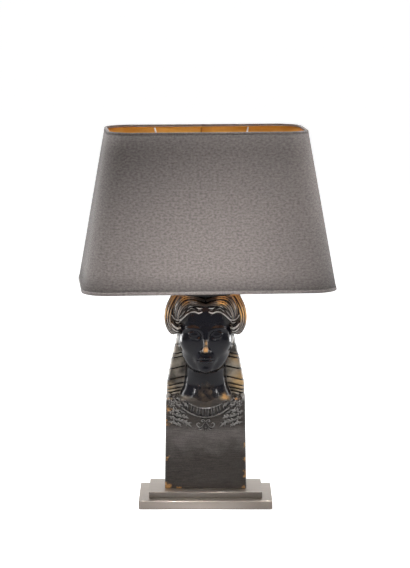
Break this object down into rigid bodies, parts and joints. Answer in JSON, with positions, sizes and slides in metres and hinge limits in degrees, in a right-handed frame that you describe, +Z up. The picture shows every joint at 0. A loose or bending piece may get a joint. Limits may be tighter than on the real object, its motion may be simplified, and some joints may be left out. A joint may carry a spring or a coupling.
{
  "type": "table lamp",
  "caption": "Table lamp: carved herm bust on a stepped metal plinth, with a lampholder, a candle bulb and a lift-off rounded rectangular shade lined in gold.",
  "frame": {"origin": "on the table, at the centre of the footprint, under the tie rod's axis", "axes": "+Z up, the figure faces -Y, +X to the right seen from the front"},
  "size_m": [0.464, 0.2822, 0.6795],
  "materials": {
    "felt": "felt",
    "brushed_nickel": "brushed",
    "iron": "raw",
    "board": "raw",
    "black_bush": "matte",
    "zinc_steel": "zinc plated",
    "ebonised_wood": "polished black lacquer, worn to brown and gilt on the edges",
    "black_holder": "moulded",
    "porcelain": "glazed",
    "brass": "plain",
    "white_wire": "white enamel",
    "grey_linen": "plain weave",
    "gold_lining": "satin metallic gold",
    "opal_glass": "opal",
    "cap_metal": "plain"
  },
  "bodies": {
    "lamp_base": {"base_felt": "felt", "plinth_lower_step": "brushed_nickel", "plinth_upper_step": "brushed_nickel", "ballast_plate": "iron", "plinth_filler": "board", "cable_grommet": "black_bush", "tie_rod": "zinc_steel", "base_washer": "zinc_steel", "base_nut": "zinc_steel", "figure_screws": "zinc_steel", "herm_figure": "ebonised_wood", "crown_plate": "ebonised_wood", "crown_washer": "brass", "lock_nut": "brass", "holder_dome": "black_holder", "holder_insert": "porcelain", "screw_shell": "brass", "centre_contact": "brass", "terminal_screws": "zinc_steel", "holder_skirt": "black_holder"},
    "clamp_ring": {"shade_ring": "black_holder"},
    "shade": {"fitter_ring": "white_wire", "spider_arms": "white_wire", "bottom_wire": "white_wire", "top_wire": "white_wire", "shade_cover": "grey_linen", "shade_liner": "gold_lining", "bottom_trim": "grey_linen", "top_trim": "grey_linen"},
    "bulb": {"bulb_cap": "cap_metal", "bulb_insulator": "porcelain", "bulb_contact": "brass", "bulb_glass": "opal_glass"}
  },
  "joints": [
    {"name": "shade_lift", "type": "slide", "parent": "lamp_base", "child": "clamp_ring", "axis": [0, 0, 1], "range_m": [0, 0.15]},
    {"name": "shade_swivel", "type": "hinge", "parent": "clamp_ring", "child": "shade", "pos_m": [0, 0, 0.436], "axis": [0, 0, 1], "continuous": true},
    {"name": "bulb_unscrew", "type": "slide", "parent": "lamp_base", "child": "bulb", "axis": [0, 0, 1], "range_m": [0, 0.06]}
  ]
}
